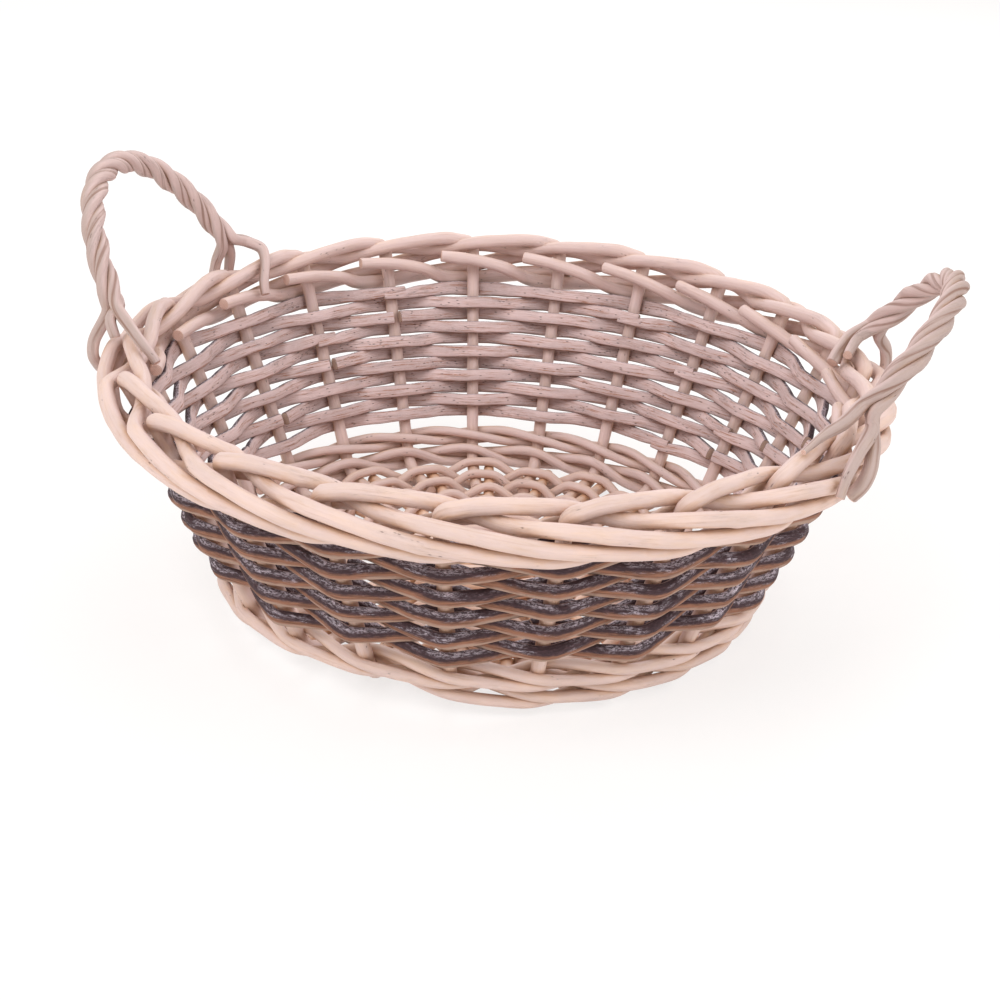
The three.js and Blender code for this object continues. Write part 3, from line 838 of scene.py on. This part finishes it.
class BASKET_OT_base_weave(bpy.types.Operator):
    """Two weavers that chase each other round the base, over and under its sticks"""
    bl_idname = "basket.base_weave"
    bl_label = "Base weave"

    def execute(self, context):
        sizes = context.scene.basket_sizes
        pitch, size = sizes.ring_pitch / MM, sizes.ring_rod / MM
        lift = STICK_SIZE / 2 + size / 2 + 0.15
        section = round_section(size, 12)
        for weaver, parity in enumerate((1, -1)):
            bundle = Bundle(140 + weaver)
            for tie in TIES[weaver::2]:
                bundle.add(*laid_flat(tie_path(tie, parity, lift)), section, soft=2.2, step=1.8,
                           lumps=sizes.lumps, cut=(False, False), floor=True)
            bundle.add(*laid_flat(chase_path(weaver, parity, pitch, lift)), section, soft=2.4,
                       step=2.0, wander=sizes.wander * 0.6 / MM, lumps=sizes.lumps, floor=True)
            name = f"base_weaver_{weaver + 1}"
            bundle.build(f"base_weave_{weaver + 1}", "base_rod", "Base rod", name)
        return {'FINISHED'}


# Wall

# Height above the ground where the upsett starts, and how much stouter than the solids it is
UPSETT_FOOT = 6.6
UPSETT_SWELL = 1.17
UPSETT_HALF = (UPSETT_SIZE + SLACK) / 2
UPSETT_CROSS = UPSETT_HALF * UPSETT_LAP
UPSETT_ROUND = 2 * UPSETT_CROSS + UPSETT_SIZE + SLACK
UPSETT_MIDDLE = UPSETT_FOOT / math.cos(LEAN) + UPSETT_HALF + UPSETT_SIZE / 2
UPSETT_TOP = UPSETT_MIDDLE + UPSETT_ROUND + UPSETT_CROSS + UPSETT_SIZE / 2
ROW_PITCH = SPLIT_WIDTH + ROW_GAP
FIRST_ROW = UPSETT_TOP + UPSETT_GAP + SPLIT_WIDTH / 2
ROWS_TOP = FIRST_ROW + (ROWS - 1) * ROW_PITCH + SPLIT_WIDTH / 2
BORDER_SEAT = ROWS_TOP + SLACK + STAKE_SIZE / 2
# How sharply a split turns at a stake, how far from its first stake a row's ends stop, how far its
# two splits run on where they lap, both in bays, how much wider the front's splits are where they
# pass inside, and the radius of a stake's bend out of the base
SPLIT_BEND = 0.985
ROW_END = 0.035
SPLIT_LAP = 0.13
FRONT_PACKING = 0.26
KNEE_RADIUS = 8


def rounds_climbed(bays):
    """Rounds that the upsett has climbed: level, with a step up over the last few bays."""
    steps = max(math.floor(bays / STAKES), 0)
    return steps + float(smooth(STAKES - STEP_BAYS, STAKES, bays - steps * STAKES))


def upsett_path(rod, passed_total):
    """A wale rod, in front of two stakes and behind one, with two more rods a stake apart."""
    out = (STAKE_SIZE / 2 + UPSETT_SIZE / 2 + SLACK) * UPSETT_SLOPE
    # Stakes passed, out and up from the wale's middle, and whether the rod is inside there
    stroke = ((0, out, UPSETT_HALF, False), (1, out, -UPSETT_HALF, False),
              (1.5, 0, -UPSETT_CROSS, False), (2, -out, 0, True), (2.5, 0, UPSETT_CROSS, False))
    trim = 1.6 / (2 * BAY * FOOT_RADIUS)
    points, sides = [], []
    for first in range(-3, passed_total, 3):
        for at, off, rise, inner in stroke:
            passed = first + at
            if passed < -1 or passed > passed_total:
                continue
            bays = rod + passed
            bays += trim if passed == -1 else 0
            bays -= trim if passed == passed_total else 0
            climbed = rounds_climbed(bays)
            lift = UPSETT_SIZE * 1.35 * max(1 - climbed, 0) if inner else 0
            up = UPSETT_MIDDLE + climbed * UPSETT_ROUND + rise + lift
            points.append(wall_place(angle_at(bays), up, off))
            sides.append(wall_normal(angle_at(bays)))
    return points, sides


class BASKET_OT_upsett(bpy.types.Operator):
    """Two rounds of three-rod wale at the foot of the wall"""
    bl_idname = "basket.upsett"
    bl_label = "Upsett"

    def execute(self, context):
        sizes = context.scene.basket_sizes
        passed = STAKES * 2 - STEP_BAYS
        passed -= (passed - 2) % 3
        for rod in range(3):
            path, sides = upsett_path(rod, passed)
            bundle = Bundle(160 + rod)
            bundle.add(path, sides, round_section(UPSETT_SIZE * UPSETT_SWELL), soft=7,
                       lumps=sizes.lumps, wander=sizes.wander * 0.5 / MM,
                       scales=[[0, 1.06, 1.06], [1, 0.94, 0.94]])
            bundle.build(f"upsett_{rod + 1}", "pale_rod", "Peeled rod", f"upsett_rod_{rod + 1}")
        return {'FINISHED'}


def split_run(row, low, high, breaks, bay_lift, shift, reach):
    """Path, side directions and thickness of one of the two splits that make up a row."""
    begin = low + (ROW_END if low == breaks[0] else -SPLIT_LAP)
    end = high - (ROW_END if high == breaks[-1] else -SPLIT_LAP)
    bays = np.arange(begin, end, 0.04)
    crest = np.cos(math.pi * (bays + row))
    wave = np.arcsin(SPLIT_BEND * crest) / math.asin(SPLIT_BEND)
    loose = np.interp(bays - breaks[0], np.arange(STAKES + 2) - 0.5, bay_lift)
    lift = shift * crest + loose * np.abs(crest)
    packed = FRONT_PACKING * np.clip(-np.sin(angle_at(bays)), 0, 1) * np.clip(-crest, 0, 1)
    width = 0.85 + 0.15 * np.clip(crest, 0, 1) ** 0.6 + packed
    if low != breaks[0]:
        lift = lift + 1.5 * smooth(low + 0.5, low - 0.1, bays)
        width = width * (1 - 0.45 * smooth(low + 0.3, low - 0.1, bays))
    if high != breaks[-1]:
        lift = lift - 1.5 * smooth(high - 0.5, high + 0.1, bays)
        width = width * (1 - 0.45 * smooth(high - 0.3, high + 0.1, bays))
    path = wall_place(angle_at(bays), FIRST_ROW + row * ROW_PITCH + lift, wave * reach)
    run = run_lengths(path)
    depth = 0.88 + 0.12 * np.clip(crest, 0, 1)
    return path, wall_normal(angle_at(bays)), np.stack([run / run[-1], depth, width], axis=1)


class BASKET_OT_side_rows(bpy.types.Operator):
    """Rows of split willow, in front of one stake and behind the next"""
    bl_idname = "basket.side_rows"
    bl_label = "Side rows"

    def execute(self, context):
        sizes = context.scene.basket_sizes
        depth, width = sizes.split_depth / MM, sizes.split_width / MM
        reach = STAKE_SIZE / 2 + 0.2 + depth / 2
        shift = sizes.crest_shift / MM / 2
        for row in range(ROWS):
            bundle = Bundle(200 + row)
            first = row * 7 + 1
            breaks = [first, first + 2 * int(bundle.rng.integers(4, 7)), first + STAKES]
            bay_lift = bundle.rng.uniform(-0.45, 0.45, STAKES + 2)
            for low, high in zip(breaks, breaks[1:]):
                path, sides, scales = split_run(row, low, high, breaks, bay_lift, shift, reach)
                bundle.add(path, sides, split_section(depth, width), soft=1.3,
                           wander=sizes.wander / MM, lumps=sizes.lumps * 1.3, scales=scales)
            name = f"side_row_{row + 1:02d}"
            bundle.build(f"split_row_{row + 1:02d}", "dark_split", "Split rod", name)
        return {'FINISHED'}


# A stake's way in the border, behind one stake and in front of three, its tip cut inside: bays
# passed, out and up in stake sizes, and what the very back of the rim adds to out and to up
BORDER_LAY = (
    (0, 0.02, 1.7, 0, 0.1), (0.05, 0.02, 2.13, -0.1, 0.12), (0.3, -0.42, 2.37, -0.45, 0.12),
    (0.65, -0.79, 1.96, -0.2, 0.35), (1, -1.15, 1.55, 0, 0.6), (1.25, -0.73, 1.26, 0.4, 0.68),
    (1.5, 0.02, 1.16, 0.3, 0.7), (1.75, 0.7, 1.69, 0.1, 0.42), (2, 1.39, 2.21, -0.08, 0.02),
    (2.5, 1.76, 1.7, -0.06, -0.05), (2.8, 1.88, 1.25, -0.06, 0), (3.1, 1.91, 0.95, -0.06, -0.15),
    (3.5, 1.85, 0.55, 0, -0.05), (3.77, 1.76, 0.26, 0, 0), (4, 1.65, 0.01, 0, 0.04),
    (4.35, 0.78, 0.02, 0, 0), (4.6, 0.1, 0.07, -1.3, 0.5), (5, -1.16, 0.26, -0.4, 0.76),
    (5.4, -1.36, 0.39, -0.35, 0.86),
)


def border_up(angle, share):
    """Height along the wall of a place in the border, which stands higher at the back."""
    backness = (1 + np.sin(angle)) / 2
    return BORDER_SEAT + share * STAKE_SIZE * (1 + BACK_RISE * backness)


def behind(angle):
    """1 at the very back of the basket, easing to 0 at its sides and 0 in front."""
    return max(math.sin(angle), 0) ** 1.5


def stake_path(stake):
    """Points and side directions of a stake: beside its stick, up the wall, round the border."""
    corner_up = BASE_PLANE / math.cos(LEAN)
    turn = math.pi / 2 - LEAN
    bend = KNEE_RADIUS * math.tan(turn / 2)
    bend_radius = FOOT_RADIUS + corner_up * math.sin(LEAN) - bend
    knee = (bend_radius + KNEE_RADIUS * math.sin(turn / 2),
            BASE_PLANE + KNEE_RADIUS * (1 - math.cos(turn / 2)))
    angle = float(angle_at(stake))
    points = [floor_place(angle, radius, height) for radius, height in (
        (BYE_START, BASE_PLANE), (bend_radius, BASE_PLANE), knee)]
    points.append(wall_place(angle, corner_up + bend, 0))
    sides = [floor_place(angle + math.pi / 2, 1, 0)] * len(points)
    for bays, out, up, farther_out, farther_up in BORDER_LAY:
        here = angle_at(stake + bays)
        up += farther_up * behind(here)
        out += farther_out * behind(here)
        points.append(wall_place(here, border_up(here, up), out * STAKE_SIZE))
        sides.append(wall_normal(angle if bays < 0.1 else here))
    return points, sides


def stake_scales(stake, bend_at):
    """Thickness of a stake whose bend into the border lies at a share of its length."""
    # Behind, the part that lies outside is stouter and closes the wall under the border
    stout = 1 + 0.2 * behind(angle_at(stake + 3))
    scales = [[0, 0.95, 0.95], [bend_at - 0.05, 0.97, 0.97]]
    for bays, size in ((0, 1.13), (0.5, 1.02), (1.9, 1.0), (2.4, stout), (4.1, stout),
                       (4.7, 0.98), (5.4, 0.9)):
        scales.append([bend_at + (1 - bend_at) * bays / BORDER_LAY[-1][0], size, size])
    return scales


class BASKET_OT_stakes(bpy.types.Operator):
    """Stakes that turn up from the base, stand in the wall and are laid down in the border"""
    bl_idname = "basket.stakes"
    bl_label = "Stakes and border"

    def execute(self, context):
        lumps = context.scene.basket_sizes.lumps
        for stake in range(STAKES):
            points, sides = stake_path(stake)
            lengths = np.linalg.norm(np.diff(np.array(points), axis=0), axis=1)
            knuckle = lengths[:5].sum()
            bundle = Bundle(240 + stake)
            bundle.add(points, sides, round_section(STAKE_SIZE), soft=5.5, lumps=lumps,
                       tight=(knuckle, 7, 0.9), step=1.8,
                       scales=stake_scales(stake, knuckle / lengths.sum()))
            name = f"stake_{stake + 1:02d}"
            bundle.build(f"willow_stake_{stake + 1:02d}", "pale_rod", "Peeled rod", name)
        return {'FINISHED'}


# Handles

# Name, angle of the middle, half angle, height of the bow, and its lean from upright
HANDLES = (
    ("left", math.radians(163), math.radians(20.8), 77.0, LEAN + math.radians(7.6)),
    ("right", math.radians(-10.8), math.radians(18.8), 67.5, LEAN + math.radians(13.8)),
)
HANDLE_FOOT = BORDER_SEAT * math.cos(LEAN) + 14.1
ROPE_START = math.radians(15)
TWIST_LENGTH = 46.0
ROPE_RING = (ROPE_STRAND_SIZE + SLACK) * 0.51
ROPE_SWELL = 1.1
# seat in stake sizes, from the rope towards the tip
CLASPED = ((1.75, 3.3), (2.78, 2.1), (2.98, 0.9), (2.8, -0.1))
FEET = {
    'left': (
        ([(4.4, *place) for place in CLASPED],
         [(-4, -0.4, 4.0), (-9.6, -1.35, 3.2), (-6, -1.96, 2.28), (2, -2.32, 1.07), (3, -2.3, 0.4)],
         [(-4.4, *place) for place in CLASPED]),
        ([(-5, 2.2, 3.05), (-1.5, 2.63, 2.3), (-8.5, 2.94, 1.15), (-14, 2.91, 0.5)],
         [(1, 0.2, 4.2), (4, 0.25, 3.1)],
         [(4, -0.92, 3.6), (17, -1.6, 2.95), (22, -2.0, 2.1), (24, -2.1, 1.5)]),
    ),
    'right': (
        ([(-6, 1.85, 3.2), (-13, 2.55, 2.7), (-19, 2.9, 1.9), (-21, 2.7, 1.2)],
         [(-7.5, -0.6, 3.5), (-20, -0.75, 3.35), (-38, -0.45, 3.15)],
         [(2, 0.9, 3.7), (-14, 1.4, 3.45), (-28, 2.15, 2.85), (-33, 2.75, 1.9)]),
        ([(0, 2.0, 3.2), (0, 2.75, 2.2), (1, 2.9, 1.2), (1, 2.8, -0.1)],
         [(-9, -1.0, 3.3), (-17, -1.5, 2.8), (-22, -1.7, 2.5)],
         [(-7, -1.5, 3.1), (-14, -2.0, 2.4), (-20, -2.3, 1.6)]),
    ),
}
# Thickness of each strand's first and last tip, by handle and strand
TIP_SCALES = {
    'left': ((0.75, 0.72), (0.8, 0.85), (0.8, 0.7)),
    'right': ((1.1, 0.75), (0.42, 0.8), (0.7, 0.95)),
}


def foot_places(angle, rows):
    """Points of a strand's end about a foot of a handle."""
    places = []
    for spread, out, up in rows:
        here = angle + spread / RIM_RADIUS
        places.append(wall_place(here, border_up(here, up), out * STAKE_SIZE))
    return places


def rope_strand(middle, half, height, tilt, strand):
    """Points of one strand of a handle's rope, and their directions from the rope's middle."""
    total = math.pi - 2 * ROPE_START
    chord, half_span = RIM_RADIUS * math.cos(half), RIM_RADIUS * math.sin(half)
    turns = round(total * (half_span + height) / 2 / TWIST_LENGTH) - 1 / 6
    outward = floor_place(middle, 1, 0)
    sideways = floor_place(middle + math.pi / 2, 1, 0)
    rising = outward * math.sin(tilt) + np.array([0, 0, math.cos(tilt)])
    facing = np.cross(sideways, rising)
    share = np.linspace(0, 1, 91)[:, None]
    sweep = ROPE_START + total * share
    centre = outward * chord + np.array([0, 0, HANDLE_FOOT])
    centre = centre - sideways * half_span * np.cos(sweep)
    centre = centre + rising * height * np.sin(sweep)
    along = unit(sideways * half_span * np.sin(sweep) + rising * height * np.cos(sweep))
    twist = TURN * (turns * share + strand / 3 + 1 / 6)
    spoke = facing * np.cos(twist) + np.cross(along, facing) * np.sin(twist)
    return centre + spoke * ROPE_RING, spoke


class BASKET_OT_handles(bpy.types.Operator):
    """Two ears of three strands laid up as a rope, whose ends clasp the border"""
    bl_idname = "basket.handles"
    bl_label = "Ear handles"

    def execute(self, context):
        section, furrows = crushed_section(ROPE_STRAND_SIZE * ROPE_SWELL)
        for name, middle, half, height, tilt in HANDLES:
            for strand in range(3):
                rope, spoke = rope_strand(middle, half, height, tilt, strand)
                first = foot_places(middle - half, FEET[name][0][strand])
                last = foot_places(middle + half, FEET[name][1][strand])
                points = np.concatenate([first[::-1], rope, last])
                sides = np.concatenate([[spoke[0]] * len(first), spoke, [spoke[-1]] * len(last)])
                tip, other = TIP_SCALES[name][strand]
                bundle = Bundle(300 + strand + (10 if name == "left" else 0))
                bundle.add(points, sides, section, soft=2.6, step=1.6, lumps=0.055, wander=0.3,
                           marks=furrows, scales=[[0, tip, tip], [0.14, 1, 1], [0.88, 1, 1],
                                                  [1, other, other]])
                bundle.build(f"{name}_rope_{strand + 1}", "handle_rope", "Handle strand",
                             f"{name}_handle_strand_{strand + 1}")
        return {'FINISHED'}


# Painted shade marks

# How far away other rods still make a place deep, and the sum of five looks that is fully deep
OCCLUSION_REACH = 11 * MM
FULL_OCCLUSION = 2.6


def point_values(source, field):
    """A vector kept for each point of a mesh, as rows."""
    flat = np.empty(len(source) * 3, dtype=np.float32)
    source.foreach_get(field, flat)
    return flat.reshape(-1, 3)

class BASKET_OT_shade_marks(bpy.types.Operator):
    """Mark how far other rods hem each point in, for painted shade, glow and thinner wash, and which
    surfaces face the inside
    """
    bl_idname = "basket.weathering"
    bl_label = "Occlusion and facing marks"

    def execute(self, context):
        pieces = [o for o in bpy.data.objects if o.type == 'MESH' and "place" in o.data.attributes]
        if not pieces:
            raise RuntimeError("there are no rods to mark")
        points, faces, start = [], [], 0
        for piece in pieces:
            mesh = piece.data
            points.append(point_values(mesh.vertices, "co"))
            faces += [[index + start for index in face.vertices] for face in mesh.polygons]
            start += len(mesh.vertices)
        tree = BVHTree.FromPolygons(np.concatenate(points).tolist(), faces)
        for piece, place in zip(pieces, points):
            normal = point_values(piece.data.vertex_normals, "vector")
            spare = np.where(np.abs(normal[:, 2:3]) < 0.8, [[0, 0, 1]], [[1, 0, 0]])
            first = unit(np.cross(normal, spare))
            second = np.cross(normal, first)
            aims = [normal]
            for turn in range(4):
                swing = turn * math.pi / 2 + math.pi / 4
                aims.append(unit(normal * 0.75 + first * math.cos(swing) + second * math.sin(swing)))
            origin = (place + normal * 0.3 * MM).tolist()
            total = np.zeros(len(place))
            for aim in aims:
                for index, (start_at, toward) in enumerate(zip(origin, aim.tolist())):
                    distance = tree.ray_cast(start_at, toward, OCCLUSION_REACH)[3]
                    if distance is not None:
                        total[index] += 1 - distance / OCCLUSION_REACH
            out = unit((place - MIDDLE * MM) * np.array([1, 1, 0]))
            inward = smooth(-0.1, 0.65, -np.sum(out * normal, axis=1))
            # How hemmed in each point is, read by the finishes as painted shade and glow
            add_attribute(piece.data, "occlusion", np.clip(total / FULL_OCCLUSION, 0, 1))
            add_attribute(piece.data, "inward", inward)
        return {'FINISHED'}


# Stage

FLOOR_HALF = 6
FLOOR_GLOW = 0.72
ROOM_LIGHT = (1, 0.985, 0.97, 1)
ROOM_STRENGTH = 0.85
# Name, place, diameter and power
LAMPS = (("Key", (-0.9, -0.9, 1.5), 1.1, 15), ("Fill", (1.3, -0.6, 1.0), 1.2, 7),
         ("Back", (0.3, 1.4, 1.2), 1.2, 9))
LAMP_AIM = Vector((0, 0, 0.06))
VIEW_HEIGHT_ANGLE = math.radians(24.84)
VIEW_ROLL = math.radians(2.58)
VIEW_PLACE = (0.00074, -0.73664, 0.3818)
VIEW_LENS = 61.7


def seen_directly(s):
    """What the camera sees, straight or in gloss or through glass, as a mask."""
    ray = s.node('ShaderNodeLightPath')
    straight = s.math('MAXIMUM', ray.outputs['Is Camera Ray'], ray.outputs['Is Glossy Ray'])
    return s.math('MAXIMUM', straight, ray.outputs['Is Transmission Ray'])


def blended(s, share, first, second, output):
    """Mix two shaders into the output."""
    blend = s.node('ShaderNodeMixShader')
    for socket, value in zip(blend.inputs, (share, first.outputs[0], second.outputs[0])):
        s.plug(value, socket)
    s.plug(blend.outputs[0], s.node(output).inputs[0])


def make_floor(scene, colour):
    """A plain pale floor that still takes the basket's shadow."""
    mesh = bpy.data.meshes.new("Floor")
    corners = [(x * FLOOR_HALF, y * FLOOR_HALF, 0) for x, y in ((-1, -1), (1, -1), (1, 1), (-1, 1))]
    mesh.from_pydata(corners, [], [(0, 1, 2, 3)])
    floor = bpy.data.objects.new("Floor", mesh)
    scene.collection.objects.link(floor)
    s = new_material("Floor paint")
    surface = s.node('ShaderNodeBsdfDiffuse')
    grain = s.noise(s.node('ShaderNodeTexCoord').outputs['Object'], detail=2)
    s.plug(s.mix(grain, tuple(colour), shaded(colour, 0.99)), surface.inputs['Color'])
    glow = s.node('ShaderNodeEmission')
    glow.inputs['Color'].default_value = (*colour, 1)
    blended(s, s.times(seen_directly(s), FLOOR_GLOW), surface, glow, 'ShaderNodeOutputMaterial')
    mesh.materials.append(bpy.data.materials["Floor paint"])


def make_room(scene, colour):
    """Even light from all round, and the floor's colour behind it."""
    world = bpy.data.worlds.new("Studio")
    world.use_nodes = True
    scene.world = world
    world.node_tree.nodes.clear()
    s = Shading(world.node_tree)
    light, backdrop = s.node('ShaderNodeBackground'), s.node('ShaderNodeBackground')
    light.inputs['Color'].default_value = ROOM_LIGHT
    light.inputs['Strength'].default_value = ROOM_STRENGTH
    backdrop.inputs['Color'].default_value = (*colour, 1)
    backdrop.inputs['Strength'].default_value = 1
    blended(s, seen_directly(s), light, backdrop, 'ShaderNodeOutputWorld')


def make_lamps(scene):
    """Three soft lamps that look at the basket."""
    for name, place, size, power in LAMPS:
        lamp = bpy.data.lights.new(name, 'AREA')
        lamp.shape = 'DISK'
        lamp.size = size
        lamp.energy = power
        lamp_object = bpy.data.objects.new(name, lamp)
        lamp_object.location = place
        lamp_object.rotation_euler = (LAMP_AIM - Vector(place)).to_track_quat('-Z', 'Y').to_euler()
        scene.collection.objects.link(lamp_object)


def make_camera(scene):
    """The photograph's viewing angle."""
    camera = bpy.data.cameras.new("Camera")
    camera.lens = VIEW_LENS
    camera.sensor_width = 36
    camera.clip_start = 0.01
    camera_object = bpy.data.objects.new("Camera", camera)
    lift, roll = VIEW_HEIGHT_ANGLE, VIEW_ROLL
    right = Vector((1, 0, 0))
    up = Vector((0, math.sin(lift), math.cos(lift)))
    forward = Vector((0, math.cos(lift), -math.sin(lift)))
    turned_right = right * math.cos(roll) + up * math.sin(roll)
    turned_up = up * math.cos(roll) - right * math.sin(roll)
    turned = Matrix((turned_right, turned_up, -forward)).transposed().to_4x4()
    camera_object.matrix_world = Matrix.Translation(VIEW_PLACE) @ turned
    scene.collection.objects.link(camera_object)
    scene.camera = camera_object


class BASKET_OT_stage(bpy.types.Operator):
    """Plain pale floor, soft studio light and the camera"""
    bl_idname = "basket.stage"
    bl_label = "Stage"

    def execute(self, context):
        scene = context.scene
        make_floor(scene, scene.basket_colours.floor)
        make_room(scene, scene.basket_colours.floor)
        make_lamps(scene)
        make_camera(scene)
        scene.view_settings.view_transform = 'Standard'
        return {'FINISHED'}


# Add-on

class BASKET_PT_panel(bpy.types.Panel):
    """Sizes, colours and makers of the basket"""
    bl_idname = "BASKET_PT_panel"
    bl_label = "Willow basket"
    bl_space_type = 'VIEW_3D'
    bl_region_type = 'UI'
    bl_category = "Basket"

    def draw(self, context):
        layout = self.layout
        for group in (context.scene.basket_sizes, context.scene.basket_colours):
            box = layout.box()
            for name in group.__annotations__:
                box.prop(group, name)
        for operator in OPERATORS:
            layout.operator(operator.bl_idname)


OPERATORS = (
    BASKET_OT_base_sticks, BASKET_OT_base_weave, BASKET_OT_stakes, BASKET_OT_upsett,
    BASKET_OT_side_rows, BASKET_OT_handles, BASKET_OT_shade_marks, BASKET_OT_stage,
)
CLASSES = (BasketSizes, BasketColours, *OPERATORS, BASKET_PT_panel)


def register():
    for kind in CLASSES:
        bpy.utils.register_class(kind)
    bpy.types.Scene.basket_sizes = bpy.props.PointerProperty(type=BasketSizes)
    bpy.types.Scene.basket_colours = bpy.props.PointerProperty(type=BasketColours)


def unregister():
    del bpy.types.Scene.basket_colours
    del bpy.types.Scene.basket_sizes
    for kind in reversed(CLASSES):
        bpy.utils.unregister_class(kind)


def main():
    """Register the add-on, and make the basket and its stage."""
    register()
    make_finishes(bpy.context.scene.basket_colours)
    for operator in OPERATORS:
        family, name = operator.bl_idname.split(".")
        getattr(getattr(bpy.ops, family), name)()


if __name__ == "__main__":
    main()
